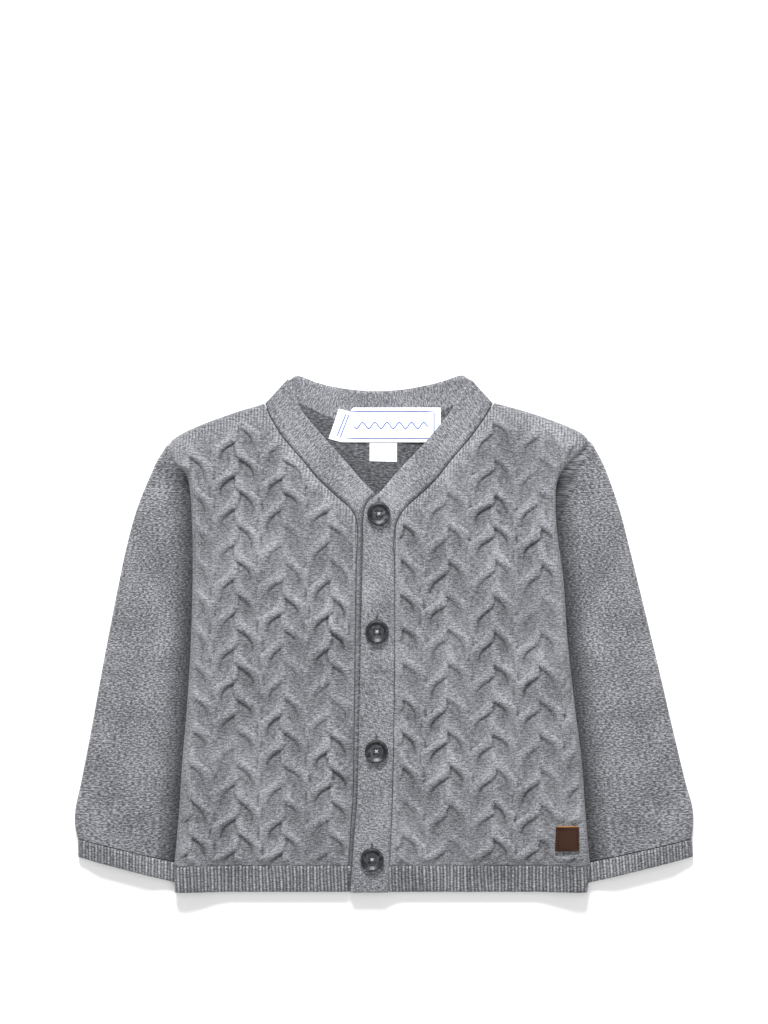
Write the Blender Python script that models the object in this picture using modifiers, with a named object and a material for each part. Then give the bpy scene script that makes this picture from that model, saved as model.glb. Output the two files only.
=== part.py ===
"""A baby's knitted cardigan, buttoned and laid out flat on its back, sleeves down.

Sizes are in millimetres and turned to metres at the end. X runs to the wearer's left, Y
from the hem to the neck and Z up from the surface the cardigan lies on. The origin is under
the middle of its outline. "right" and "left" are the wearer's.

From the surface up lie the two sleeves, the back panel, which rides over their inner edges,
the two cable-knit fronts, which wrap round the back's edges, the button band of the right
front, the buttonhole band of the left front and the buttons.
"""

from collections import namedtuple

import bmesh
import bpy
import numpy as np

MM = 0.001

# Walls of cloth and the gaps between pieces
BACK_WALL = 1.8
FRONT_WALL = 2.4
SLEEVE_WALL = 1.7
BAND_WALL = 2.2
NECK_BAND_WALL = 2.0
LABEL_WALL = 0.5
PATCH_WALL = 1.6
SEAM = 0.3
RIB_SEAM = 0.5
LAYER_GAP = 0.8
PATCH_GAP = 0.45

# Levels over the surface that it lies on
BAND_LEVEL = 3.2
LABEL_LEVEL = NECK_BAND_WALL + SEAM
TAB_LEVEL = BACK_WALL + SEAM
OVER_BAND = BAND_WALL + 0.6

# A flattened sleeve: its height under the body, and how much fuller it lies in its middle
SLEEVE_HEIGHT = 4.4
SLEEVE_FULLNESS = 2.6
FULLNESS_REACH = 15.0
BODY_LIFT = SLEEVE_HEIGHT + 0.6
LIFT_SLOPE = 30.0
BAND_SLOPE = 12.0

# The soft roll where a front turns over the side, and how far inside it the back ends: a
# little further above the height where the armholes start to curve
ROLL = 3.4
BACK_INSET = FRONT_WALL + 0.5
SHOULDER_INSET = 6.0
ARMHOLE_CURVE_Y = 66.0
ARMHOLE_CURVE_REACH = 14.0

HEM_Y = -147.5

# How finely the panels are divided, and how much closer the back's columns lie at its sides
PANEL_SPACING = 14.0
BACK_ROWS = 18
BACK_COLUMNS = 27
EDGE_CROWDING = 0.4

BUTTON_LEVEL = BAND_LEVEL + OVER_BAND + BAND_WALL + SEAM
BUTTON_DIAMETER = 13.4
BUTTON_THICKNESS = 2.8
BUTTON_HOLE = 1.7
BUTTON_HOLE_SPACING = 3.1
BUTTONHOLE_LENGTH = 14.5
BUTTONHOLE_WIDTH = 0.9
BUTTONHOLE_ABOVE = 1.6

# The row of the band tables where the hem rib ends and the panel starts
FIRST_PANEL_ROW = 1

SideRow = namedtuple("SideRow", "y right_x left_x")
Point = namedtuple("Point", "x y")
BandRow = namedtuple("BandRow", "seam_x seam_y free_x free_y")
SleeveRow = namedtuple("SleeveRow", "outer_x outer_y inner_x inner_y")

# Side edges of the body, from the hem to the tips of the shoulders
SIDES = (
    SideRow(HEM_Y, -119.3, 116.0),
    SideRow(-132.65, -119.6, 117.6),
    SideRow(-103.0, -117.0, 115.0),
    SideRow(-74.0, -115.1, 112.9),
    SideRow(-42.0, -112.4, 108.9),
    SideRow(-5.0, -110.2, 104.8),
    SideRow(30.0, -109.2, 102.4),
    SideRow(60.0, -109.4, 98.5),
    SideRow(83.0, -110.9, 98.2),
    SideRow(92.0, -113.9, 101.2),
    SideRow(98.0, -120.3, 106.2),
    SideRow(107.5, -122.2, 115.8),
)

# Shoulder lines, from the tips to the neck
RIGHT_SHOULDER = (Point(-117.1, 112.9), Point(-103.3, 119.5), Point(-85.0, 126.3), Point(-68.4, 131.2))
LEFT_SHOULDER = (Point(113.4, 113.7), Point(100.3, 119.9), Point(81.1, 126.8), Point(62.6, 131.8))

# The right front's button band, from the hem to its fold at the neck: the edge sewn to the
# front and the free edge, most of which lies under the other band
BUTTON_BAND = (
    BandRow(-20.3, HEM_Y, -2.0, HEM_Y),
    BandRow(-19.9, -132.65, -1.7, -132.65),
    BandRow(-18.8, -112.0, -0.8, -112.0),
    BandRow(-17.4, -90.0, 0.4, -90.0),
    BandRow(-16.8, -45.0, 1.0, -45.0),
    BandRow(-16.2, 0.0, 1.4, 0.0),
    BandRow(-15.6, 40.0, 1.8, 40.0),
    BandRow(-14.9, 54.0, 2.2, 57.0),
    BandRow(-15.8, 65.0, 0.6, 70.0),
    BandRow(-19.4, 71.8, -4.6, 79.0),
    BandRow(-26.0, 77.5, -12.2, 87.0),
    BandRow(-37.2, 88.0, -22.6, 99.0),
    BandRow(-47.0, 99.6, -32.0, 109.5),
    BandRow(-57.2, 111.5, -41.6, 120.5),
    BandRow(-63.4, 121.2, -48.6, 130.0),
    BandRow(-66.0, 126.4, -51.4, 136.0),
    BandRow(-67.9, 131.2, -52.6, 146.9),
)

# The left front's buttonhole band, which lies on top
BUTTONHOLE_BAND = (
    BandRow(2.6, HEM_Y, -19.2, HEM_Y),
    BandRow(3.0, -132.65, -18.1, -132.65),
    BandRow(3.9, -114.0, -16.8, -114.0),
    BandRow(4.7, -92.0, -15.1, -92.0),
    BandRow(5.7, -45.0, -14.0, -45.0),
    BandRow(6.0, 0.0, -13.1, 0.0),
    BandRow(6.0, 38.0, -12.3, 36.0),
    BandRow(5.7, 53.0, -11.9, 54.0),
    BandRow(7.4, 63.8, -11.7, 66.0),
    BandRow(12.2, 71.8, -9.4, 74.6),
    BandRow(20.6, 79.4, -1.9, 81.2),
    BandRow(29.4, 88.0, 8.3, 93.1),
    BandRow(39.2, 100.2, 23.2, 108.8),
    BandRow(47.6, 110.0, 32.8, 120.3),
    BandRow(55.4, 120.3, 39.6, 129.2),
    BandRow(59.2, 126.2, 43.4, 136.0),
    BandRow(62.2, 131.2, 47.2, 147.5),
)

# Back neck band, from the right fold to the left: the edge sewn to the back and the free edge
NECK_BAND = (
    BandRow(-64.6, 131.2, -52.6, 145.6),
    BandRow(-53.0, 131.0, -46.4, 146.5),
    BandRow(-44.0, 128.2, -39.0, 143.6),
    BandRow(-33.0, 122.8, -30.0, 141.2),
    BandRow(-18.0, 119.6, -17.0, 139.2),
    BandRow(-2.5, 118.6, -2.5, 138.5),
    BandRow(13.0, 119.6, 12.0, 139.6),
    BandRow(27.5, 122.8, 25.0, 142.0),
    BandRow(38.5, 128.2, 34.5, 144.4),
    BandRow(48.0, 131.0, 41.9, 146.8),
    BandRow(59.0, 131.4, 47.6, 145.6),
)

# Sleeves in plan, from the armhole to the start of the cuff: the outer fold and the inner
# fold, whose upper part lies under the body
RIGHT_SLEEVE = (
    SleeveRow(-115.0, 110.6, -84.0, 22.0),
    SleeveRow(-122.4, 108.7, -85.2, 15.0),
    SleeveRow(-126.4, 103.6, -86.6, 8.0),
    SleeveRow(-131.0, 95.9, -88.0, 1.0),
    SleeveRow(-140.6, 73.0, -91.6, -16.0),
    SleeveRow(-147.1, 49.9, -95.0, -33.0),
    SleeveRow(-152.8, 22.5, -98.8, -52.0),
    SleeveRow(-159.9, -14.0, -104.0, -78.0),
    SleeveRow(-167.6, -56.7, -109.2, -102.0),
    SleeveRow(-173.3, -85.8, -112.4, -117.5),
    SleeveRow(-176.2, -99.0, -113.6, -122.6),
    SleeveRow(-176.7, -108.5, -114.2, -127.0),
    SleeveRow(-175.0, -117.2, -115.0, -131.6),
)
LEFT_SLEEVE = (
    SleeveRow(104.0, 113.0, 77.0, 22.0),
    SleeveRow(117.0, 109.8, 78.6, 15.0),
    SleeveRow(121.2, 104.4, 80.4, 8.0),
    SleeveRow(126.5, 94.1, 82.4, 1.0),
    SleeveRow(134.3, 72.0, 87.0, -16.0),
    SleeveRow(140.6, 48.0, 90.6, -33.0),
    SleeveRow(147.4, 20.0, 94.6, -52.0),
    SleeveRow(155.4, -13.0, 100.0, -78.0),
    SleeveRow(165.4, -56.0, 105.4, -102.0),
    SleeveRow(172.4, -85.0, 109.0, -117.5),
    SleeveRow(176.2, -98.5, 110.8, -122.6),
    SleeveRow(176.7, -108.0, 111.8, -127.0),
    SleeveRow(176.0, -117.2, 112.6, -131.6),
)
RIGHT_CUFF = (SleeveRow(-174.9, -117.6, -115.1, -132.0), SleeveRow(-174.8, -127.6, -116.6, -142.9))
LEFT_CUFF = (SleeveRow(176.1, -117.6, 112.7, -132.0), SleeveRow(176.7, -127.4, 113.8, -143.2))

BUTTONS = (Point(-2.9, 68.2), Point(-4.0, 1.1), Point(-4.3, -67.0), Point(-6.8, -128.6))

# Corners of the leather patch on the left front, and of the woven label at the neck
PATCH = (Point(97.6, -123.8), Point(111.0, -123.4), Point(98.0, -109.8), Point(110.8, -109.8))
LABEL_TOP = (Point(-25.8, 128.4), Point(-19.4, 126.8), Point(-17.6, 129.0), Point(32.4, 129.0))
LABEL_BOTTOM = (Point(-31.7, 111.2), Point(-24.6, 109.3), Point(-21.0, 109.2), Point(32.4, 109.2))
TAB_TOP = (Point(-8.2, 108.8), Point(7.4, 108.8))
TAB_BOTTOM = (Point(-8.2, 98.4), Point(7.4, 98.0))

GREY_KNIT = (0.27, 0.27, 0.29)
BAND_KNIT = (0.30, 0.30, 0.32)


# ---------------------------------------------------------------- numbers

def smoothstep(t):
    """0 below 0, 1 above 1 and an even S between."""
    t = np.clip(t, 0.0, 1.0)
    return t * t * (3.0 - 2.0 * t)


def curve(points, per=2):
    """A Catmull-Rom curve through the points, with `per` steps from each to the next."""
    points = np.asarray(points, float)
    ends = (2 * points[0] - points[1], 2 * points[-1] - points[-2])
    all_points = np.vstack((ends[0], points, ends[1]))
    before, start, stop, after = (all_points[i:len(points) - 1 + i, None] for i in range(4))
    t = (np.arange(per) / per)[None, :, None]
    steps = 0.5 * (2 * start + (stop - before) * t
                   + (2 * before - 5 * start + 4 * stop - after) * t ** 2
                   + (3 * start - before - 3 * stop + after) * t ** 3)
    return np.vstack((steps.reshape(-1, points.shape[1]), points[-1]))


def lengths(line):
    """Distance along a line of points, from 0 at its start to 1 at its end."""
    run = np.concatenate(([0.0], np.cumsum(np.linalg.norm(np.diff(line, axis=0), axis=1))))
    return run / run[-1]


def at(line, shares):
    """Points of a line at the given shares of its length."""
    own = lengths(line)
    return np.column_stack([np.interp(shares, own, line[:, k]) for k in range(2)])


def inset(line, distance):
    """A line moved sideways, to the left of its own direction."""
    along = np.gradient(line, axis=0)
    along /= np.linalg.norm(along, axis=1)[:, None]
    move = np.broadcast_to(distance, len(line))[:, None]
    return line + move * np.column_stack((-along[:, 1], along[:, 0]))


def distance_outside(points, outline):
    """How far each point lies outside a closed outline, and 0 inside it."""
    start, stop = outline, np.roll(outline, -1, axis=0)
    edge = stop - start
    rel = points[:, None] - start[None]
    share = np.clip((rel * edge).sum(2) / (edge ** 2).sum(1), 0.0, 1.0)
    away = np.linalg.norm(rel - share[..., None] * edge, axis=2).min(1)
    above = start[:, 1] > points[:, 1:2]
    crosses = above != (stop[:, 1] > points[:, 1:2])
    slope = edge[:, 0] / np.where(edge[:, 1] == 0, 1e-9, edge[:, 1])
    right = points[:, 0:1] < start[:, 0] + slope * (points[:, 1:2] - start[:, 1])
    inside = (crosses & right).sum(1) % 2 == 1
    return np.where(inside, 0.0, away)


# ---------------------------------------------------------------- the lines that pieces share

def band_lines(rows):
    """The sewn edge and the free edge of a band, from its table."""
    both = curve(rows)
    return both[:, :2], both[:, 2:]


def side_line(side, shoulder):
    """One side's outline from the top of the hem rib to the neck, by way of the shoulder."""
    rows = [Point(getattr(row, side), row.y) for row in SIDES[1:]]
    return curve(rows + list(shoulder), 4)


def hem_side(side):
    """The two ends of a side edge beside the hem rib."""
    low, high = SIDES[:2]
    return (Point(getattr(low, side), low.y), Point(getattr(high, side), high.y - RIB_SEAM))


def sleeve_outline(rows, cuff):
    """The outline of a flattened sleeve with its cuff, in plan."""
    both = np.vstack((curve(rows), np.asarray(cuff)))
    return np.vstack((both[:, :2], both[::-1, 2:]))


RIGHT_SEAM, RIGHT_FREE = band_lines(BUTTON_BAND)
LEFT_SEAM, LEFT_FREE = band_lines(BUTTONHOLE_BAND)
RIGHT_SIDE = side_line("right_x", RIGHT_SHOULDER)
LEFT_SIDE = side_line("left_x", LEFT_SHOULDER)
SLEEVES = (sleeve_outline(RIGHT_SLEEVE, RIGHT_CUFF), sleeve_outline(LEFT_SLEEVE, LEFT_CUFF))
UNDER_BAND = np.vstack((RIGHT_SEAM, RIGHT_FREE[::-1]))


def body_lift(points):
    """How high the sleeves hold up the back panel."""
    away = np.min([distance_outside(points, sleeve) for sleeve in SLEEVES], axis=0)
    return BODY_LIFT * smoothstep(1.0 - away / LIFT_SLOPE)


def band_lift(points):
    """How high the button band holds up what lies on it."""
    return OVER_BAND * smoothstep(1.0 - distance_outside(points, UNDER_BAND) / BAND_SLOPE)


def front_top(points):
    """Upper face of a front panel."""
    return body_lift(points) + BACK_WALL + LAYER_GAP + FRONT_WALL


def left_front_top(points):
    """Upper face of the left front, whose inner edge climbs on to the button band."""
    return front_top(points) + band_lift(points)


# ---------------------------------------------------------------- Blender helpers

def clear_scene():
    for obj in list(bpy.data.objects):
        bpy.data.objects.remove(obj, do_unlink=True)


def collection(name):
    made = bpy.data.collections.new(name)
    bpy.context.scene.collection.children.link(made)
    return made


def material(name, colour, roughness):
    made = bpy.data.materials.new(name)
    made.use_nodes = True
    shader = made.node_tree.nodes["Principled BSDF"]
    shader.inputs["Base Color"].default_value = (*colour, 1.0)
    shader.inputs["Roughness"].default_value = roughness
    return made


def place(name, mesh, finish, where):
    """An object with its own material, in a collection."""
    obj = bpy.data.objects.new(name, mesh)
    where.objects.link(obj)
    mesh.materials.append(finish)
    return obj


def surface(name, grid, finish, wall, outwards, ring=False):
    """A wall of cloth on a grid of points in millimetres. `outwards` is 1 to thicken it on the
    side that its faces look to, and -1 on the other; a ring closes on itself across its rows."""
    rows, columns = grid.shape[:2]
    number = np.arange(rows * columns).reshape(rows, columns)
    if ring:
        number = np.column_stack((number, number[:, 0]))
    faces = np.stack((number[:-1, :-1], number[:-1, 1:], number[1:, 1:], number[1:, :-1]), axis=-1)
    mesh = bpy.data.meshes.new(name)
    mesh.from_pydata((grid.reshape(-1, 3) * MM).tolist(), [], faces.reshape(-1, 4).tolist())
    mesh.shade_smooth()
    obj = place(name, mesh, finish, PARTS)
    solid = obj.modifiers.new("wall", "SOLIDIFY")
    solid.thickness = wall * MM
    solid.offset = outwards
    solid.use_even_offset = True
    return obj


def boolean_cut(obj, cutter):
    cutter.hide_render = True
    cutter.display_type = "WIRE"
    cut = obj.modifiers.new("cut", "BOOLEAN")
    cut.operation = "DIFFERENCE"
    cut.object = cutter


# ---------------------------------------------------------------- pieces

def sheet_grid(sewn, outer, top):
    """A grid from the sewn line to the outer line, row by row, whose outer edge rolls down
    over the side: a quarter circle and then straight down to the underside of the back."""
    width = np.linalg.norm(outer - sewn, axis=1)
    radius = np.minimum(ROLL, 0.45 * width)
    angle = np.radians((0.0, 0.0, 30.0, 60.0, 90.0))
    inwards = radius[:, None] * (1.0 - np.cos(angle))
    drop = radius[:, None] * (1.0 - np.sin(angle))
    flat = max(3, int(round(width.max() / PANEL_SPACING)))
    rest = np.linspace(0.0, 1.0, flat + 1)[1:]
    edge = inwards[:, -1:]
    inwards = np.hstack((inwards, edge + (width[:, None] - edge) * rest))
    drop = np.hstack((drop, np.zeros((len(width), flat))))
    share = inwards / width[:, None]
    plan = outer[:, None] + (sewn - outer)[:, None] * share[..., None]
    level = top(plan.reshape(-1, 2)).reshape(share.shape)
    height = level - drop
    height[:, 0] = body_lift(plan[:, 0])
    return np.concatenate((plan, height[..., None]), axis=2)


def front_panel(name, seam, side, top, side_sign, finish):
    """A cable front: from the seam with its band to the side, the armhole and the shoulder."""
    start = 2 * FIRST_PANEL_ROW
    sewn = seam[start:-1]
    sewn = inset(sewn, -side_sign * SEAM)
    outer = at(side, lengths(seam[start:])[:-1])
    grid = sheet_grid(sewn, outer, top)
    if side_sign > 0:
        grid = grid[:, ::-1]
    surface(name, grid, finish, FRONT_WALL, -1)


def front_hem(name, seam, side, top, side_sign, finish):
    """The rib under a front, from the band to the side."""
    sewn = seam[:2 * FIRST_PANEL_ROW + 1] + (side_sign * SEAM, 0.0)
    sewn[-1, 1] -= RIB_SEAM
    outer = at(np.asarray(hem_side(side)), lengths(sewn))
    grid = sheet_grid(sewn, outer, top)
    if side_sign > 0:
        grid = grid[:, ::-1]
    surface(name, grid, finish, FRONT_WALL, -1)


def back_inset(line):
    """How far inside the body's outline the back ends."""
    above = smoothstep((line[:, 1] - ARMHOLE_CURVE_Y) / ARMHOLE_CURVE_REACH)
    return BACK_INSET + (SHOULDER_INSET - BACK_INSET) * above


def back_panel(finish):
    """The plain back, from the rib to the shoulders and the neck seam (a Coons patch)."""
    rows, columns = BACK_ROWS, BACK_COLUMNS
    tip = len(SIDES) - 2
    right = inset(RIGHT_SIDE, -back_inset(RIGHT_SIDE))
    left = inset(LEFT_SIDE, back_inset(LEFT_SIDE))
    right_edge = at(right[:4 * tip + 1], np.linspace(0, 1, rows))
    left_edge = at(left[:4 * tip + 1], np.linspace(0, 1, rows))
    neck = curve([Point(row.seam_x, row.seam_y - RIB_SEAM) for row in NECK_BAND])
    top = np.vstack((right[4 * tip::3], neck, left[4 * tip::3][::-1]))
    share = np.linspace(0, 1, columns)
    share = (1.0 - EDGE_CROWDING) * share + EDGE_CROWDING * smoothstep(share)
    top_edge = at(top, share)
    low_edge = at(np.vstack((right_edge[0], left_edge[0])), share)
    plan = coons(low_edge, top_edge, right_edge, left_edge)
    surface("back_panel", with_height(plan, body_lift), finish, BACK_WALL, 1)


def back_hem(finish):
    """The rib under the back."""
    (low_right, high_right), (low_left, high_left) = hem_side("right_x"), hem_side("left_x")
    share = np.linspace(0.0, 1.0, 25)[:, None]
    move = np.array((BACK_INSET, 0.0))
    low = (low_right + move) * (1 - share) + (low_left - move) * share
    high = (high_right + move) * (1 - share) + (high_left - move) * share
    surface("hem_rib_back", with_height(np.stack((low, high)), body_lift), finish, BACK_WALL, 1)


def coons(low, high, first, last):
    """A grid of plan points inside four edges: low and high run across, first and last up."""
    v = np.linspace(0.0, 1.0, len(first))[:, None, None]
    u = np.linspace(0.0, 1.0, len(low))[None, :, None]
    across = low[None] * (1 - v) + high[None] * v
    upwards = first[:, None] * (1 - u) + last[:, None] * u
    corners = ((low[0] * (1 - u) + low[-1] * u) * (1 - v)
               + (high[0] * (1 - u) + high[-1] * u) * v)
    return across + upwards - corners


def with_height(plan, height):
    """Plan points with the height that a function gives them."""
    level = height(plan.reshape(-1, 2)).reshape(plan.shape[:2])
    return np.concatenate((plan, level[..., None]), axis=2)


def sleeve_height(points, outer, sign):
    """Height of a sleeve's upper wall: fuller between its outer fold and the body's side."""
    sides = np.array([(row.y, getattr(row, "left_x" if sign > 0 else "right_x")) for row in SIDES])
    beside = sign * (points[:, 0] - np.interp(points[:, 1], sides[:, 0], sides[:, 1]))
    inside = np.linalg.norm(points[:, None] - outer[None], axis=2).min(1)
    full = smoothstep(inside / FULLNESS_REACH) * smoothstep((beside - 2.0) / FULLNESS_REACH)
    return SLEEVE_HEIGHT + SLEEVE_FULLNESS * full


def tube(name, rows, sign, outer, finish):
    """A flattened tube of cloth, open at both ends: flat underneath, with round folds."""
    fold = SLEEVE_HEIGHT / 2.0
    start, stop = rows[:, :2], rows[:, 2:]
    across = stop - start
    width = np.linalg.norm(across, axis=1)
    angle = np.radians((-90.0, -45.0, 0.0, 45.0, 90.0))
    out = fold * (1.0 - np.cos(angle))
    share = out / width[:, None]
    inner = (fold + (width[:, None] - 2.0 * fold) * np.linspace(0.0, 1.0, 9)[1:-1]) / width[:, None]
    top = np.hstack((share, inner, 1.0 - share[:, ::-1]))
    low = inner[:, ::-1]
    plan_top = start[:, None] + across[:, None] * top[..., None]
    plan_low = start[:, None] + across[:, None] * low[..., None]
    high = sleeve_height(plan_top.reshape(-1, 2), outer, sign).reshape(top.shape)
    ends = np.ones(top.shape[1])
    ends[:5] = (1.0 + np.sin(angle)) / 2.0
    ends[-5:] = ends[4::-1]
    upper = np.concatenate((plan_top, (high * ends)[..., None]), axis=2)
    lower = np.concatenate((plan_low, np.zeros(low.shape + (1,))), axis=2)
    grid = np.concatenate((upper, lower), axis=1)
    if sign < 0:
        grid = grid[:, ::-1]
    surface(name, grid, finish, SLEEVE_WALL, -1, ring=True)


def sleeve(side, rows, cuff, sign, finish, rib_finish):
    rows, cuff = np.asarray(rows), np.asarray(cuff)
    outer = curve(np.vstack((rows, cuff)), 4)[:, :2]
    tube("sleeve_" + side, rows, sign, outer, finish)
    tube("cuff_rib_" + side, cuff, sign, outer, rib_finish)


def band(name, sewn, free, level, wall, finish):
    """A strip of band from its sewn edge to its free edge, a little lower at both."""
    share = np.linspace(0.0, 1.0, 4)
    plan = sewn[:, None] * (1 - share)[None, :, None] + free[:, None] * share[None, :, None]
    height = level(plan.reshape(-1, 2)).reshape(plan.shape[:2])
    grid = np.concatenate((plan, (height + wall)[..., None]), axis=2)
    normal = np.cross(grid[1, 0] - grid[0, 0], grid[0, 1] - grid[0, 0])
    if normal[2] > 0:
        grid = grid[:, ::-1]
    return surface(name, grid, finish, wall, -1)


def flat_piece(name, low, high, columns, top, wall, finish):
    """A label or patch between its lower and its upper edge, laid on what is under it."""
    low_edge, high_edge = np.asarray(low, float), np.asarray(high, float)
    if columns:
        share = np.linspace(0.0, 1.0, columns)
        low_edge, high_edge = at(low_edge, share), at(high_edge, share)
    v = np.linspace(0.0, 1.0, 4)[:, None, None]
    plan = low_edge[None] * (1 - v) + high_edge[None] * v
    surface(name, with_height(plan, top), finish, wall, 1)


def button(name, centre, level, finish):
    """A four-hole button: a disc with a raised rim and a dished middle, turned on its axis."""
    radius, thick = BUTTON_DIAMETER / 2.0, BUTTON_THICKNESS
    profile = ((0.0, 0.62 * thick), (0.58 * radius, 0.62 * thick), (0.72 * radius, 0.82 * thick),
               (0.84 * radius, thick), (0.95 * radius, 0.92 * thick), (radius, 0.68 * thick),
               (0.93 * radius, 0.28 * thick), (0.7 * radius, 0.0), (0.0, 0.0))
    mesh = bpy.data.meshes.new(name)
    points = [(x * MM, 0.0, z * MM) for x, z in profile]
    mesh.from_pydata(points, [(i, i + 1) for i in range(len(points) - 1)], [])
    obj = place(name, mesh, finish, PARTS)
    obj.location = (centre.x * MM, centre.y * MM, level * MM)
    spin = obj.modifiers.new("turned", "SCREW")
    spin.steps = spin.render_steps = 24
    spin.use_merge_vertices = True
    spin.merge_threshold = 1e-5
    spin.use_smooth_shade = True
    cutter = cylinders(name + "_holes", BUTTON_HOLE / 2.0, 4.0 * thick, 8)
    cutter.location = obj.location
    boolean_cut(obj, cutter)


def cylinders(name, radius, depth, sides):
    """The four rods that pierce a button."""
    work = bmesh.new()
    half = BUTTON_HOLE_SPACING / 2.0
    for x, y in ((-half, -half), (half, -half), (-half, half), (half, half)):
        made = bmesh.ops.create_cone(work, cap_ends=True, segments=sides, radius1=radius * MM,
                                     radius2=radius * MM, depth=depth * MM)
        bmesh.ops.translate(work, verts=made["verts"], vec=(x * MM, y * MM, 0.0))
    mesh = bpy.data.meshes.new(name)
    work.to_mesh(mesh)
    work.free()
    cutter = bpy.data.objects.new(name, mesh)
    CUTTERS.objects.link(cutter)
    return cutter


def buttonholes(obj):
    """Upright slits through the top band, one behind each button."""
    work = bmesh.new()
    for spot in BUTTONS:
        made = bmesh.ops.create_cube(work, size=1.0)
        bmesh.ops.scale(work, verts=made["verts"],
                        vec=(BUTTONHOLE_WIDTH * MM, BUTTONHOLE_LENGTH * MM, 30.0 * MM))
        bmesh.ops.translate(work, verts=made["verts"],
                            vec=(spot.x * MM, (spot.y + BUTTONHOLE_ABOVE) * MM, 0.0))
    mesh = bpy.data.meshes.new("buttonhole_slits")
    work.to_mesh(mesh)
    work.free()
    cutter = bpy.data.objects.new("buttonhole_slits", mesh)
    CUTTERS.objects.link(cutter)
    boolean_cut(obj, cutter)


# ---------------------------------------------------------------- the cardigan

clear_scene()
PARTS = collection("baby_cardigan")
CUTTERS = collection("cutters")

plain = material("plain grey wool jersey", GREY_KNIT, 0.95)
cable = material("cabled grey wool", GREY_KNIT, 0.95)
rib = material("ribbed grey wool", GREY_KNIT, 0.95)
edging = material("fine knit band", BAND_KNIT, 0.95)
horn = material("dark horn button", (0.03, 0.03, 0.033), 0.25)
white = material("white woven label", (0.85, 0.85, 0.88), 0.7)
leather = material("brown leather", (0.035, 0.014, 0.008), 0.5)

back_panel(plain)
back_hem(rib)
front_panel("front_right", RIGHT_SEAM, RIGHT_SIDE, front_top, -1, cable)
front_panel("front_left", LEFT_SEAM, LEFT_SIDE, left_front_top, 1, cable)
front_hem("hem_rib_front_right", RIGHT_SEAM, "right_x", front_top, -1, rib)
front_hem("hem_rib_front_left", LEFT_SEAM, "left_x", left_front_top, 1, rib)
sleeve("right", RIGHT_SLEEVE, RIGHT_CUFF, -1, plain, rib)
sleeve("left", LEFT_SLEEVE, LEFT_CUFF, 1, plain, rib)

band("band_button", RIGHT_SEAM, RIGHT_FREE, lambda p: np.full(len(p), BAND_LEVEL), BAND_WALL, edging)
top_band = band("band_buttonhole", LEFT_SEAM, LEFT_FREE, lambda p: BAND_LEVEL + band_lift(p),
                BAND_WALL, edging)
buttonholes(top_band)
neck_sewn, neck_free = band_lines(NECK_BAND)
band("band_neck", neck_sewn, neck_free, lambda p: np.zeros(len(p)), NECK_BAND_WALL, edging)

for number, spot in enumerate(BUTTONS, start=1):
    button(f"button_{number}", spot, BUTTON_LEVEL, horn)

flat_piece("neck_label", LABEL_BOTTOM, LABEL_TOP, 0, lambda p: np.full(len(p), LABEL_LEVEL),
           LABEL_WALL, white)
flat_piece("size_tab", TAB_BOTTOM, TAB_TOP, 0, lambda p: np.full(len(p), TAB_LEVEL), LABEL_WALL, white)
flat_piece("leather_patch", PATCH[:2], PATCH[2:], 4, lambda p: left_front_top(p) + PATCH_GAP,
           PATCH_WALL, leather)
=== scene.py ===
"""The looks of a baby's grey wool cardigan, buttoned and laid out flat on its back.

Each panel of knit is a thin shell on the form of its solid: a grid of points between the
panel's two edge lines, at the height of the solid's upper face, plus the relief of its knit.
Sizes are in millimetres and turned to metres when a mesh is made. "right" and "left" are the
wearer's, who would lie face up with the head towards +Y, so the wearer's left is at +X.
"""

from collections import namedtuple

import bpy
import numpy as np
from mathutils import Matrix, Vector


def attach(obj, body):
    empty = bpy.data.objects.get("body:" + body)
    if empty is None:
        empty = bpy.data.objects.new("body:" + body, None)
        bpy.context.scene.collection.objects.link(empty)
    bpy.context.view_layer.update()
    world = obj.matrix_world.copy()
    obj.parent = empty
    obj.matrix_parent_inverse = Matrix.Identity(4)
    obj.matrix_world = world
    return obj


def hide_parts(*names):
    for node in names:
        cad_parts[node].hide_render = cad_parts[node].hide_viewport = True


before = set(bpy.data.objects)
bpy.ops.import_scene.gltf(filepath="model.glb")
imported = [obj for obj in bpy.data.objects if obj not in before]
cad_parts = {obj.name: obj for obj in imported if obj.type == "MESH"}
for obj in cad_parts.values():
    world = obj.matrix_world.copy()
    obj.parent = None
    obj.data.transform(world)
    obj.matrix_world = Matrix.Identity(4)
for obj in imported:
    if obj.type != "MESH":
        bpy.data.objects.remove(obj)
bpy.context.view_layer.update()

MM = 0.001


# Walls of cloth and the gaps between pieces
BACK_WALL = 1.8
FRONT_WALL = 2.4
SLEEVE_WALL = 1.7
BAND_WALL = 2.2
NECK_BAND_WALL = 2.0
LABEL_WALL = 0.5
PATCH_WALL = 1.6
SEAM = 0.3
RIB_SEAM = 0.5
LAYER_GAP = 0.8
PATCH_GAP = 0.45

# Levels over the surface that it lies on
BAND_LEVEL = 3.2
LABEL_LEVEL = NECK_BAND_WALL + SEAM
OVER_BAND = BAND_WALL + 0.6

# A flattened sleeve: its height under the body, and how much fuller it lies in its middle
SLEEVE_HEIGHT = 4.4
SLEEVE_FULLNESS = 2.6
FULLNESS_REACH = 15.0
BODY_LIFT = SLEEVE_HEIGHT + 0.6
LIFT_SLOPE = 30.0
BAND_SLOPE = 12.0

# The soft roll where a front turns over the side, and how far inside it the back ends: a
# little further above the height where the armholes start to curve
ROLL = 3.4
BACK_INSET = FRONT_WALL + 0.5
SHOULDER_INSET = 6.0
ARMHOLE_CURVE_Y = 66.0
ARMHOLE_CURVE_REACH = 14.0

HEM_Y = -147.5
RIB_TOP_Y = HEM_Y + 14.9

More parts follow.
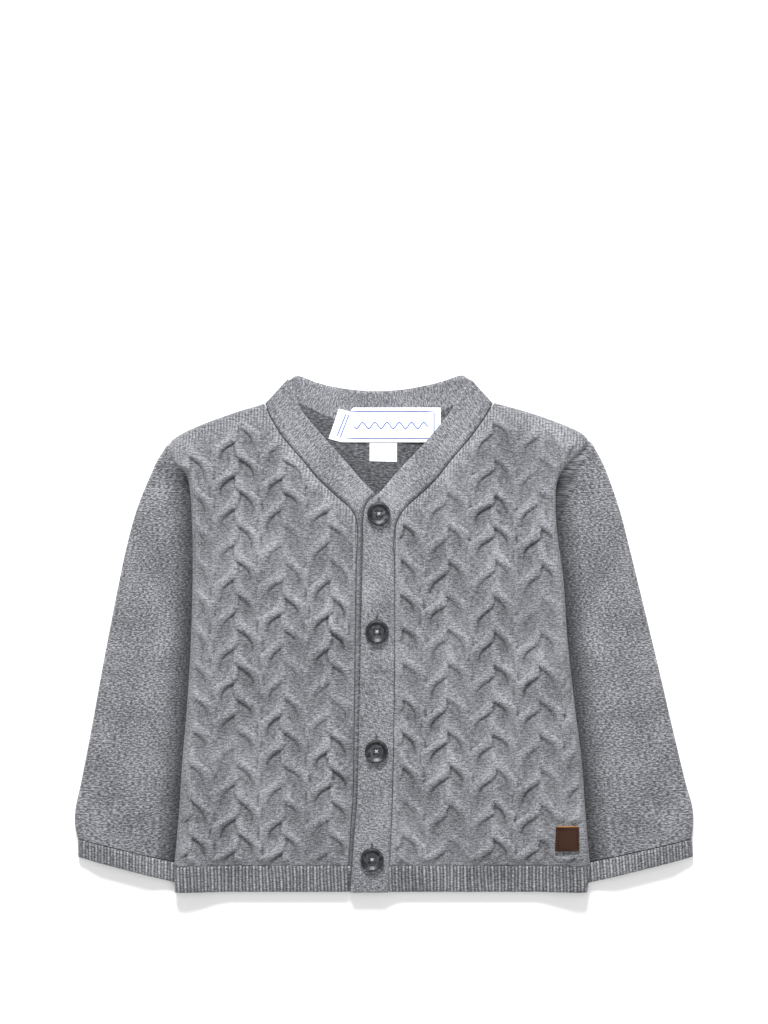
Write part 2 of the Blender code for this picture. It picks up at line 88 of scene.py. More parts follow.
BUTTON_LEVEL = BAND_LEVEL + OVER_BAND + BAND_WALL + SEAM
BUTTON_THICKNESS = 2.8
BUTTON_HOLE_SPACING = 3.1
BUTTONHOLE_LENGTH = 14.5
BUTTONHOLE_ABOVE = 1.6

# The row of the band tables where the hem rib ends and the panel starts
FIRST_PANEL_ROW = 1

SideRow = namedtuple("SideRow", "y right_x left_x")
Point = namedtuple("Point", "x y")
BandRow = namedtuple("BandRow", "seam_x seam_y free_x free_y")
SleeveRow = namedtuple("SleeveRow", "outer_x outer_y inner_x inner_y")

# Side edges of the body, from the hem to the tips of the shoulders
SIDES = (
    SideRow(HEM_Y, -119.3, 116.0),
    SideRow(-132.65, -119.6, 117.6),
    SideRow(-103.0, -117.0, 115.0),
    SideRow(-74.0, -115.1, 112.9),
    SideRow(-42.0, -112.4, 108.9),
    SideRow(-5.0, -110.2, 104.8),
    SideRow(30.0, -109.2, 102.4),
    SideRow(60.0, -109.4, 98.5),
    SideRow(83.0, -110.9, 98.2),
    SideRow(92.0, -113.9, 101.2),
    SideRow(98.0, -120.3, 106.2),
    SideRow(107.5, -122.2, 115.8),
)

# Shoulder lines, from the tips to the neck
RIGHT_SHOULDER = (Point(-117.1, 112.9), Point(-103.3, 119.5), Point(-85.0, 126.3), Point(-68.4, 131.2))
LEFT_SHOULDER = (Point(113.4, 113.7), Point(100.3, 119.9), Point(81.1, 126.8), Point(62.6, 131.8))

# The right front's button band, from the hem to its fold at the neck: the edge sewn to the
# front and the free edge, most of which lies under the other band
BUTTON_BAND = (
    BandRow(-20.3, HEM_Y, -2.0, HEM_Y),
    BandRow(-19.9, -132.65, -1.7, -132.65),
    BandRow(-18.8, -112.0, -0.8, -112.0),
    BandRow(-17.4, -90.0, 0.4, -90.0),
    BandRow(-16.8, -45.0, 1.0, -45.0),
    BandRow(-16.2, 0.0, 1.4, 0.0),
    BandRow(-15.6, 40.0, 1.8, 40.0),
    BandRow(-14.9, 54.0, 2.2, 57.0),
    BandRow(-15.8, 65.0, 0.6, 70.0),
    BandRow(-19.4, 71.8, -4.6, 79.0),
    BandRow(-26.0, 77.5, -12.2, 87.0),
    BandRow(-37.2, 88.0, -22.6, 99.0),
    BandRow(-47.0, 99.6, -32.0, 109.5),
    BandRow(-57.2, 111.5, -41.6, 120.5),
    BandRow(-63.4, 121.2, -48.6, 130.0),
    BandRow(-66.0, 126.4, -50.6, 138.4),
    BandRow(-67.9, 131.2, -54.8, 145.3),
)

# The left front's buttonhole band, which lies on top
BUTTONHOLE_BAND = (
    BandRow(2.6, HEM_Y, -19.2, HEM_Y),
    BandRow(3.0, -132.65, -18.1, -132.65),
    BandRow(3.9, -114.0, -16.8, -114.0),
    BandRow(4.7, -92.0, -15.1, -92.0),
    BandRow(5.7, -45.0, -14.0, -45.0),
    BandRow(6.0, 0.0, -13.1, 0.0),
    BandRow(6.0, 38.0, -12.3, 36.0),
    BandRow(5.7, 53.0, -11.9, 54.0),
    BandRow(7.4, 63.8, -11.7, 66.0),
    BandRow(12.2, 71.8, -9.4, 74.6),
    BandRow(20.6, 79.4, -1.9, 81.2),
    BandRow(29.4, 88.0, 8.3, 93.1),
    BandRow(39.2, 100.2, 23.2, 108.8),
    BandRow(47.6, 110.0, 32.8, 120.3),
    BandRow(55.4, 120.3, 39.6, 129.2),
    BandRow(59.2, 126.2, 43.9, 138.4),
    BandRow(62.2, 131.2, 49.6, 145.2),
)

# Back neck band, from the right fold to the left: the edge sewn to the back and the free edge
NECK_BAND = (
    BandRow(-64.6, 131.2, -54.0, 145.0),
    BandRow(-53.0, 131.0, -49.0, 147.2),
    BandRow(-44.0, 128.2, -39.0, 143.6),
    BandRow(-33.0, 122.8, -30.0, 141.2),
    BandRow(-18.0, 119.6, -17.0, 139.2),
    BandRow(-2.5, 118.6, -2.5, 138.5),
    BandRow(13.0, 119.6, 12.0, 139.6),
    BandRow(27.5, 122.8, 25.0, 142.0),
    BandRow(38.5, 128.2, 34.5, 144.4),
    BandRow(48.0, 131.0, 44.2, 147.5),
    BandRow(59.0, 131.4, 49.2, 145.0),
)

# Sleeves in plan, from the armhole to the start of the cuff: the outer fold and the inner
# fold, whose upper part lies under the body
RIGHT_SLEEVE = (
    SleeveRow(-115.0, 110.6, -84.0, 22.0),
    SleeveRow(-122.4, 108.7, -85.2, 15.0),
    SleeveRow(-126.4, 103.6, -86.6, 8.0),
    SleeveRow(-131.0, 95.9, -88.0, 1.0),
    SleeveRow(-140.6, 73.0, -91.6, -16.0),
    SleeveRow(-147.1, 49.9, -95.0, -33.0),
    SleeveRow(-152.8, 22.5, -98.8, -52.0),
    SleeveRow(-159.9, -14.0, -104.0, -78.0),
    SleeveRow(-167.6, -56.7, -109.2, -102.0),
    SleeveRow(-173.3, -85.8, -112.4, -117.5),
    SleeveRow(-176.2, -99.0, -113.6, -122.6),
    SleeveRow(-176.7, -108.5, -114.2, -127.0),
    SleeveRow(-175.0, -117.2, -115.0, -131.6),
)
LEFT_SLEEVE = (
    SleeveRow(104.0, 113.0, 77.0, 22.0),
    SleeveRow(117.0, 109.8, 78.6, 15.0),
    SleeveRow(121.2, 104.4, 80.4, 8.0),
    SleeveRow(126.5, 94.1, 82.4, 1.0),
    SleeveRow(134.3, 72.0, 87.0, -16.0),
    SleeveRow(140.6, 48.0, 90.6, -33.0),
    SleeveRow(147.4, 20.0, 94.6, -52.0),
    SleeveRow(155.4, -13.0, 100.0, -78.0),
    SleeveRow(165.4, -56.0, 105.4, -102.0),
    SleeveRow(172.4, -85.0, 109.0, -117.5),
    SleeveRow(176.2, -98.5, 110.8, -122.6),
    SleeveRow(176.7, -108.0, 111.8, -127.0),
    SleeveRow(176.0, -117.2, 112.6, -131.6),
)
RIGHT_CUFF = (SleeveRow(-174.9, -117.6, -115.1, -132.0), SleeveRow(-174.8, -127.6, -116.6, -142.9))
LEFT_CUFF = (SleeveRow(176.1, -117.6, 112.7, -132.0), SleeveRow(176.7, -127.4, 113.8, -143.2))

BUTTONS = (Point(-2.9, 68.2), Point(-4.0, 1.1), Point(-4.3, -67.0), Point(-6.8, -128.6))

# Corners of the leather patch on the left front
PATCH = (Point(97.6, -123.8), Point(111.0, -123.4), Point(98.0, -109.8), Point(110.8, -109.8))


# ---------------------------------------------------------------- numbers

def smoothstep(t):
    """0 below 0, 1 above 1 and an even S between."""
    t = np.clip(t, 0.0, 1.0)
    return t * t * (3.0 - 2.0 * t)


def curve(points, per=2):
    """A Catmull-Rom curve through the points, with `per` steps from each to the next."""
    points = np.asarray(points, float)
    ends = (2 * points[0] - points[1], 2 * points[-1] - points[-2])
    all_points = np.vstack((ends[0], points, ends[1]))
    before, start, stop, after = (all_points[i:len(points) - 1 + i, None] for i in range(4))
    t = (np.arange(per) / per)[None, :, None]
    steps = 0.5 * (2 * start + (stop - before) * t
                   + (2 * before - 5 * start + 4 * stop - after) * t ** 2
                   + (3 * start - before - 3 * stop + after) * t ** 3)
    return np.vstack((steps.reshape(-1, points.shape[1]), points[-1]))


def lengths(line):
    """Distance along a line of points, from 0 at its start to 1 at its end."""
    run = np.concatenate(([0.0], np.cumsum(np.linalg.norm(np.diff(line, axis=0), axis=1))))
    return run / run[-1]


def at(line, shares):
    """Points of a line at the given shares of its length."""
    own = lengths(line)
    return np.column_stack([np.interp(shares, own, line[:, k]) for k in range(2)])


def inset(line, distance):
    """A line moved sideways, to the left of its own direction."""
    along = np.gradient(line, axis=0)
    along /= np.linalg.norm(along, axis=1)[:, None]
    move = np.broadcast_to(distance, len(line))[:, None]
    return line + move * np.column_stack((-along[:, 1], along[:, 0]))


def distance_outside(points, outline):
    """How far each point lies outside a closed outline, and 0 inside it."""
    start, stop = outline, np.roll(outline, -1, axis=0)
    edge = stop - start
    rel = points[:, None] - start[None]
    share = np.clip((rel * edge).sum(2) / (edge ** 2).sum(1), 0.0, 1.0)
    away = np.linalg.norm(rel - share[..., None] * edge, axis=2).min(1)
    above = start[:, 1] > points[:, 1:2]
    crosses = above != (stop[:, 1] > points[:, 1:2])
    slope = edge[:, 0] / np.where(edge[:, 1] == 0, 1e-9, edge[:, 1])
    right = points[:, 0:1] < start[:, 0] + slope * (points[:, 1:2] - start[:, 1])
    inside = (crosses & right).sum(1) % 2 == 1
    return np.where(inside, 0.0, away)


# ---------------------------------------------------------------- the lines that pieces share

def band_lines(rows):
    """The sewn edge and the free edge of a band, from its table."""
    both = curve(rows)
    return both[:, :2], both[:, 2:]


def side_line(side, shoulder):
    """One side's outline from the top of the hem rib to the neck, by way of the shoulder."""
    rows = [Point(getattr(row, side), row.y) for row in SIDES[1:]]
    return curve(rows + list(shoulder), 4)


def hem_side(side):
    """The two ends of a side edge beside the hem rib."""
    low, high = SIDES[:2]
    return (Point(getattr(low, side), low.y), Point(getattr(high, side), high.y - RIB_SEAM))


def sleeve_outline(rows, cuff):
    """The outline of a flattened sleeve with its cuff, in plan."""
    both = np.vstack((curve(rows), np.asarray(cuff)))
    return np.vstack((both[:, :2], both[::-1, 2:]))


RIGHT_SEAM, RIGHT_FREE = band_lines(BUTTON_BAND)
RIGHT_SIDE = side_line("right_x", RIGHT_SHOULDER)
LEFT_SIDE = side_line("left_x", LEFT_SHOULDER)
SLEEVES = (sleeve_outline(RIGHT_SLEEVE, RIGHT_CUFF), sleeve_outline(LEFT_SLEEVE, LEFT_CUFF))
UNDER_BAND = np.vstack((RIGHT_SEAM, RIGHT_FREE[::-1]))


def body_lift(points):
    """How high the sleeves hold up the back panel."""
    away = np.min([distance_outside(points, sleeve) for sleeve in SLEEVES], axis=0)
    return BODY_LIFT * smoothstep(1.0 - away / LIFT_SLOPE)


def band_lift(points):
    """How high the button band holds up what lies on it."""
    return OVER_BAND * smoothstep(1.0 - distance_outside(points, UNDER_BAND) / BAND_SLOPE)


def front_top(points):
    """Upper face of a front panel."""
    return body_lift(points) + BACK_WALL + LAYER_GAP + FRONT_WALL


def left_front_top(points):
    """Upper face of the left front, whose inner edge climbs on to the button band."""
    return front_top(points) + band_lift(points)


def coons(low, high, first, last):
    """A grid of plan points inside four edges: low and high run across, first and last up."""
    v = np.linspace(0.0, 1.0, len(first))[:, None, None]
    u = np.linspace(0.0, 1.0, len(low))[None, :, None]
    across = low[None] * (1 - v) + high[None] * v
    upwards = first[:, None] * (1 - u) + last[:, None] * u
    corners = ((low[0] * (1 - u) + low[-1] * u) * (1 - v)
               + (high[0] * (1 - u) + high[-1] * u) * v)
    return across + upwards - corners


def with_height(plan, height):
    """Plan points with the height that a function gives them."""
    level = height(plan.reshape(-1, 2)).reshape(plan.shape[:2])
    return np.concatenate((plan, level[..., None]), axis=2)


def sleeve_height(points, outer, sign):
    """Height of a sleeve's upper wall: fuller between its outer fold and the body's side."""
    sides = np.array([(row.y, getattr(row, "left_x" if sign > 0 else "right_x")) for row in SIDES])
    beside = sign * (points[:, 0] - np.interp(points[:, 1], sides[:, 0], sides[:, 1]))
    inside = np.linalg.norm(points[:, None] - outer[None], axis=2).min(1)
    full = smoothstep(inside / FULLNESS_REACH) * smoothstep((beside - 2.0) / FULLNESS_REACH)
    return SLEEVE_HEIGHT + SLEEVE_FULLNESS * full


# ---------------------------------------------------------------- relief of the knit

Cable = namedtuple("Cable", "repeat height falls_x falls_y rises_x rises_y skew_x")
Crease = namedtuple("Crease", "x y angle length width height")

# Where the cables lie: the repeat of two columns, a crossing that falls towards +X and one
# that rises, and the X where the rows' slight slope starts
RIGHT_CABLE = Cable(26.65, 19.52, -50.9, 1.6, -37.3, -8.4, -104.9)
LEFT_CABLE = Cable(26.22, 19.665, 15.8, 1.4, 2.85, -5.7, 10.3)
ROW_SLOPE = -0.0217
STRAND_HALF = 4.1
STRAND_RISE = 2.0
CROSSING_RISE = 1.15
CROSSING_STEEPNESS = 1.15

# How far a rope reaches from the middle of its column, as a share of the column, the level
# that stands for no rope at all, and the level of the ground that shows between the ropes
ROPE_REACH = 0.56
FAR_BELOW = -9.0
DEEPEST_SLIT = -0.3

# Where the knit is compared with its surroundings to find its slits, mostly below a strand, for the
# painted shade in them
CAVITY_REACH = np.array(((0.0, 1.6), (1.2, 1.4), (-1.2, 1.4), (1.6, 0.0), (-1.6, 0.0), (0.0, -1.4)))

WALE_PITCH = 1.75
HEM_RIB_PITCH = 3.9
CUFF_RIB_PITCH = 3.7
CUFF_LENGTH = 10.0
RIB_RELIEF = 1.5

# Soft ridges (height above 0) and troughs on the sleeves
SLEEVE_CREASES = (
    Crease(-134.0, 60.0, -62.0, 60.0, 7.0, 0.9),
    Crease(-128.0, 30.0, -70.0, 70.0, 6.0, -1.0),
    Crease(-139.0, 5.0, -66.0, 50.0, 8.0, 0.8),
    Crease(-150.0, -35.0, -60.0, 42.0, 7.0, -0.7),
    Crease(-133.0, -50.0, -52.0, 48.0, 9.0, 0.8),
    Crease(-146.0, -84.0, -30.0, 36.0, 6.0, -0.6),
    Crease(-127.0, 84.0, 18.0, 20.0, 5.0, -0.9),
    Crease(-152.0, -104.0, 8.0, 40.0, 5.0, 0.6),
    Crease(131.0, 56.0, 64.0, 58.0, 7.0, 0.9),
    Crease(124.0, 26.0, 71.0, 66.0, 6.0, -1.0),
    Crease(138.0, 0.0, 66.0, 50.0, 8.0, 0.8),
    Crease(126.0, -34.0, 58.0, 44.0, 7.0, -0.8),
    Crease(146.0, -52.0, 60.0, 46.0, 8.0, 0.7),
    Crease(140.0, -88.0, 34.0, 34.0, 6.0, -0.6),
    Crease(118.0, 78.0, -20.0, 20.0, 5.0, -0.9),
    Crease(150.0, -106.0, -6.0, 40.0, 5.0, 0.6),
)


# Gathers round the top button, a faint crease across the band, and the fold that shows on the
# button band where it turns at the foot of the neckline
UPPER_FOLDS = (
    Crease(4.2, 62.6, 62.0, 8.0, 0.6, -0.45),
    Crease(5.6, 63.4, 66.0, 8.0, 0.6, 0.4),
    Crease(2.6, 61.6, 56.0, 7.0, 0.6, 0.35),
    Crease(-5.6, 58.0, 88.0, 5.0, 0.5, -0.4),
    Crease(-3.4, 57.4, 92.0, 5.0, 0.5, -0.4),
    Crease(-1.2, 57.8, 95.0, 5.0, 0.5, -0.35),
    Crease(-4.4, -22.0, 2.0, 17.0, 0.6, -0.35),
    Crease(-3.0, -9.0, -3.0, 14.0, 0.8, -0.2),
    Crease(-9.5, 20.0, 90.0, 46.0, 1.6, 0.25),
    Crease(-9.5, -48.0, 90.0, 40.0, 1.6, 0.25),
)
LOWER_FOLDS = (
    Crease(-13.6, 61.0, 100.0, 22.0, 0.6, -0.4),
    Crease(-13.0, 40.0, 91.0, 34.0, 0.6, -0.35),
)


def wander(x, y, size, seed):
    """An uneven field from about -1 to 1: a sum of five sines that run in different directions,
    sin(2 pi (x cos a + y sin a) / size_k + phase_k)."""
    total = np.zeros(np.broadcast(x, y).shape)
    for k in range(5):
        angle = seed * 1.7 + k * 1.257
        span = size * (0.62 + 0.23 * ((seed * 3 + k * 2) % 5))
        run = x * np.cos(angle) + y * np.sin(angle)
        total += np.sin(2 * np.pi * run / span + seed + 2.3 * k)
    return total / 2.6


def strand(x, turn, half_column):
    """One strand of a rope cable, which crosses over at turn 0 and under at turn 1: its centre
    runs as tanh(k sin(pi turn)), its level as cos(pi turn) and its section is half an ellipse."""
    steep = CROSSING_STEEPNESS
    centre = half_column / 2.0 * np.tanh(steep * np.sin(np.pi * turn)) / np.tanh(steep)
    across = np.clip(np.abs(x - centre) / STRAND_HALF, 0.0, 1.0)
    return STRAND_RISE * np.sqrt(1.0 - across ** 2) + CROSSING_RISE * np.cos(np.pi * turn)


def cables(plan, kind):
    """Relief of the cable knit: columns of two-strand ropes, which fall and rise by turns."""
    x, y = plan[..., 0], plan[..., 1]
    column = kind.repeat / 2.0
    x = x + 0.8 * wander(x, y, 46.0, 1)
    y = y - ROW_SLOPE * (x - kind.skew_x) + 1.0 * wander(x, y, 52.0, 2)
    relief = np.full(x.shape, FAR_BELOW)
    columns = ((kind.falls_x, kind.falls_y, -1.0), (kind.rises_x, kind.rises_y, 1.0))
    for start_x, start_y, mirror in columns:
        local = (x - start_x + column) % kind.repeat - column
        turn = (y - start_y) / kind.height
        for shift in (0.0, 1.0):
            rope = strand(mirror * local, turn + shift, column)
            outside = np.abs(local) > ROPE_REACH * column
            relief = np.maximum(relief, np.where(outside, FAR_BELOW, rope))
    relief = np.maximum(relief, DEEPEST_SLIT)
    return relief * (0.88 + 0.28 * wander(x, y, 55.0, 3))


def creases(plan, table):
    """Sum of soft ridges: height * exp(-(across / width)^2) * exp(-(along / (length / 2))^4)."""
    total = np.zeros(plan.shape[:-1])
    for row in table:
        turn = np.radians(row.angle)
        rel = plan - (row.x, row.y)
        along = rel[..., 0] * np.cos(turn) + rel[..., 1] * np.sin(turn)
        across = -rel[..., 0] * np.sin(turn) + rel[..., 1] * np.cos(turn)
        total += row.height * np.exp(-(across / row.width) ** 2 - (along / (row.length / 2.0)) ** 4)
    return total


def rib(across, pitch):
    """Ribs in pairs, one of each pair standing higher: 0.5 + 0.5 cos(2 pi across / pitch), and
    the same with half the pitch at twice the weight."""
    pair = np.cos(2 * np.pi * across / pitch)
    each = np.cos(4 * np.pi * across / pitch)
    return 0.5 + 0.17 * pair + 0.33 * each


# ---------------------------------------------------------------- meshes

# A shell is a little thinner than its solid, so that its relief stays clear of what is below
THINNER = 0.8
THIN_BAND = 0.35


def shell(name, grid, uv, hollow, wall, finish, ring=False, plain=0.0):
    """A sheet of knit on a grid of points in millimetres, thickened downwards or inwards. `uv`
    is in millimetres of knit, the painted shade mask is 1 in the deepest valleys and 0 on the
    ridges, and `plain` is 1 where the cables end and upright lines of stitches show."""
    rows, columns = grid.shape[:2]
    number = np.arange(rows * columns).reshape(rows, columns)
    if ring:
        number = np.column_stack((number, number[:, 0]))
    faces = np.stack((number[:-1, :-1], number[:-1, 1:], number[1:, 1:], number[1:, :-1]), axis=-1)
    faces = faces.reshape(-1, 4)
    points = grid.reshape(-1, 3)
    a, b, c = (points[faces[:, k]] for k in (0, 1, 2))
    up = np.cross(b - a, c - a)[:, 2]
    outside = up.sum() if not ring else up[points[faces[:, 0], 2] > 3.0].sum()
    if outside < 0:
        faces = faces[:, ::-1]
    mesh = bpy.data.meshes.new(name)
    mesh.vertices.add(len(points))
    mesh.vertices.foreach_set("co", (points * MM).astype(np.float32).ravel())
    mesh.loops.add(faces.size)
    mesh.loops.foreach_set("vertex_index", faces.ravel().astype(np.int32))
    mesh.polygons.add(len(faces))
    mesh.polygons.foreach_set("loop_start", np.arange(0, faces.size, 4, dtype=np.int32))
    mesh.update(calc_edges=True)
    mesh.shade_smooth()
    layer = mesh.uv_layers.new(name="knit")
    layer.data.foreach_set("uv", uv.reshape(-1, 2)[faces.ravel()].astype(np.float32).ravel())
    for field_name, values in (("hollow", hollow), ("plain", plain)):
        field = mesh.attributes.new(field_name, "FLOAT", "POINT")
        values = np.broadcast_to(values, grid.shape[:2]).astype(np.float32)
        field.data.foreach_set("value", values.ravel())
    obj = bpy.data.objects.new(name, mesh)
    bpy.context.scene.collection.objects.link(obj)
    mesh.materials.append(finish)
    thick = obj.modifiers.new("wall", "SOLIDIFY")
    thick.thickness = wall * MM
    thick.offset = -1.0
    thick.use_even_offset = False
    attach(obj, "root")
    return obj


def fine(rows, per=8):
    """A band's or sleeve's two edge lines, finely divided."""
    both = curve(rows, per)
    return both[:, :2], both[:, 2:]


def front(name, seam_rows, side, shoulder, top, sign, kind, finish):
    """A cable front: share s runs up the seam and up the side and along the shoulder together,
    share t from the side, where the cloth rolls down in a quarter circle, to the seam. Its height
    is the solid's, plus the cables, which fade out at every edge, and a slow unevenness."""
    seam = fine(seam_rows[FIRST_PANEL_ROW:])[0]
    outline = curve([Point(getattr(row, side), row.y) for row in SIDES[1:]] + list(shoulder), 10)
    share = np.linspace(0.0, 0.998, 272)
    sewn = inset(at(seam, share), -sign * SEAM)
    outer = at(outline, share)
    width = np.linalg.norm(outer - sewn, axis=1)
    radius = np.minimum(ROLL, 0.45 * width)
    angle = np.radians(np.linspace(0.0, 90.0, 6))
    inwards = radius[:, None] * (1.0 - np.cos(angle))
    drop = radius[:, None] * (1.0 - np.sin(angle))
    rest = np.linspace(0.0, 1.0, 116)[1:]
    edge = inwards[:, -1:]
    inwards = np.hstack((np.zeros_like(edge), inwards, edge + (width[:, None] - edge) * rest))
    drop = np.hstack((drop[:, :1], drop, np.zeros((len(width), len(rest)))))
    across = inwards / width[:, None]
    plan = outer[:, None] + (sewn - outer)[:, None] * across[..., None]
    level = top(plan.reshape(-1, 2)).reshape(across.shape) - drop
    level[:, 0] = body_lift(plan[:, 0]) + 0.2

    to_seam = width[:, None] - inwards
    x, y = plan[..., 0], plan[..., 1]
    neckline = smoothstep((y - 60.0) / 14.0)
    fade = smoothstep((to_seam - 1.0) / (3.0 + 12.0 * neckline)) * smoothstep(inwards / 7.0)
    shoulder_y = np.interp(x, *np.array(sorted(shoulder)).T)
    fade *= smoothstep((shoulder_y - y - 3.0) / 13.0) * smoothstep((y - RIB_TOP_Y) / 5.0)
    patch = np.array(PATCH).mean(0)
    fade *= smoothstep((np.max(np.abs(plan - patch), axis=-1) - 8.0) / 4.0)
    relief = cables(plan, kind)
    uneven = 0.55 * wander(x, y, 75.0, 4 + sign)
    pad = smoothstep(np.minimum(to_seam, inwards) / 2.2)
    depth = 0.35 + 0.65 * smoothstep((y - 20.0) / 25.0) if sign > 0 else 1.0
    rounding = -0.9 * depth * (1.0 - smoothstep(to_seam / 1.8)) 
    level = level + relief * fade + uneven * pad + rounding
    # Painted shade: the slits under the strands, the ground between them and the roll at the side are
    # darkened in the colour
    around = [cables(plan + move, kind) for move in CAVITY_REACH]
    slits = np.clip(1.1 * (np.mean(around, axis=0) - relief), 0.0, 1.0) * fade
    at_side = 0.3 * (1.0 - smoothstep(inwards / 5.0))
    between = 0.42 * fade * np.clip(1.0 - relief / 2.2, 0.0, 1.0)
    hollow = np.maximum(np.maximum(slits, between), at_side)
    grid = np.concatenate((plan, level[..., None]), axis=2)
    uv = np.stack((x + 0.6 * relief * fade, y), axis=-1)
    plain_part = (1.0 - fade) * smoothstep((y - 20.0) / 30.0) * smoothstep(inwards / 4.0)
    obj = shell(name, grid, uv, hollow, THINNER * FRONT_WALL, finish, plain=plain_part)
    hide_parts(name.replace("_knit", ""))
    return obj


def front_rib(name, seam_rows, side, top, sign, finish):
    """The rib below a front, ribs upright: relief = rib(x / pitch), faded at the side."""
    sewn_x = tuple(row.seam_x + sign * SEAM for row in seam_rows[:2])
    low, high = SIDES[:2]
    side_x = (getattr(low, side), getattr(high, side))
    up = np.linspace(0.0, 1.0, 26)
    width = abs(side_x[0] - sewn_x[0])
    inwards = np.concatenate((np.linspace(0.0, ROLL, 12)[:-1], np.linspace(ROLL, width, 340)))
    across = inwards / width
    start_y = np.interp(up, (0, 1), (HEM_Y, high.y + 0.05))
    start = np.column_stack((np.interp(up, (0, 1), side_x), start_y))
    stop = np.column_stack((np.interp(up, (0, 1), sewn_x), start[:, 1]))
    plan = start[:, None] + (stop - start)[:, None] * across[None, :, None]
    drop = ROLL - np.sqrt(ROLL ** 2 - np.clip(ROLL - inwards, 0.0, ROLL) ** 2)
    level = top(plan.reshape(-1, 2)).reshape(plan.shape[:2]) - drop[None]
    level[:, 0] = body_lift(plan[:, 0]) + 0.2
    x = plan[..., 0] + 0.25 * wander(plan[..., 0], plan[..., 1], 30.0, 6)
    ribs = rib(x + 0.03 * (plan[..., 1] - HEM_Y), HEM_RIB_PITCH)
    near_end = smoothstep(up / 0.12)[:, None] * smoothstep((1.0 - up) / 0.1)[:, None]
    relief = RIB_RELIEF * ribs * smoothstep(inwards / 6.0)[None] * (0.35 + 0.65 * near_end)
    level += relief - 0.15
    # Painted shade in the furrows between the ribs
    hollow = (1.0 - ribs) * np.ones_like(level)
    grid = np.concatenate((plan, level[..., None]), axis=2)
    obj = shell(name, grid, plan, hollow, THINNER * FRONT_WALL, finish)
    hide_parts(name.replace("_knit", ""))
    return obj


def back(finish, outside):
    """The plain back: a Coons patch between its four edges, at the height of its solid. Its
    inner face shows in the neck, and its outer face lies on the surface."""
    tip = len(SIDES) - 2
    right = inset(RIGHT_SIDE, -back_inset(RIGHT_SIDE))
    left = inset(LEFT_SIDE, back_inset(LEFT_SIDE))
    rows, columns = 110, 120
    right_edge = at(right[:4 * tip + 1], np.linspace(0, 1, rows))
    left_edge = at(left[:4 * tip + 1], np.linspace(0, 1, rows))
    neck = curve([Point(row.seam_x, row.seam_y + 0.4) for row in NECK_BAND], 6)
    top = np.vstack((right[4 * tip::3], neck, left[4 * tip::3][::-1]))
    share = np.linspace(0, 1, columns)
    low = np.vstack((right_edge[0], left_edge[0]))
    plan = coons(at(low, share), at(top, share), right_edge, left_edge)
    grid = with_height(plan, body_lift)
    inside = smoothstep((plan[..., 1] - 60.0) / 30.0)
    grid[..., 2] += BACK_WALL + 0.3 * inside * (1.0 + wander(plan[..., 0], plan[..., 1], 26.0, 7))
    # Painted shade on the inner face of the back, darker from 55 mm upwards into the neck, which the
    # bands shade
    hollow = 0.75 * smoothstep((plan[..., 1] - 55.0) / 10.0)
    obj = shell("back_panel_knit", grid, plan, hollow, BACK_WALL, finish)
    obj.data.materials.append(outside)
    obj.modifiers["wall"].material_offset = 1
    obj.modifiers["wall"].material_offset_rim = 1
    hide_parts("back_panel")


def back_inset(line):
    """How far inside the body's outline the back ends."""
    above = smoothstep((line[:, 1] - ARMHOLE_CURVE_Y) / ARMHOLE_CURVE_REACH)
    return BACK_INSET + (SHOULDER_INSET - BACK_INSET) * above


def back_rib(finish):
    """The rib below the back, seen from below the hem only."""
    (low_right, high_right), (low_left, high_left) = hem_side("right_x"), hem_side("left_x")
    share = np.linspace(0.0, 1.0, 700)[None, :, None]
    move = np.array((BACK_INSET, 0.0))
    up = np.linspace(0.0, 1.0, 8)[:, None, None]
    low = (low_right + move) * (1 - share) + (low_left - move) * share
    high = (high_right + move) * (1 - share) + (high_left - move) * share
    grid = with_height((low * (1 - up) + high * up), body_lift)
    ribs = rib(grid[..., 0], HEM_RIB_PITCH)
    grid[..., 2] += BACK_WALL - 0.4 + 0.4 * ribs
    # The mask 0.7 (1 - ribs) is painted shade in the furrows between the ribs
    obj = shell("hem_rib_back_knit", grid, grid[..., :2], 0.7 * (1 - ribs), BACK_WALL - 0.5, finish)
    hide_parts("hem_rib_back")


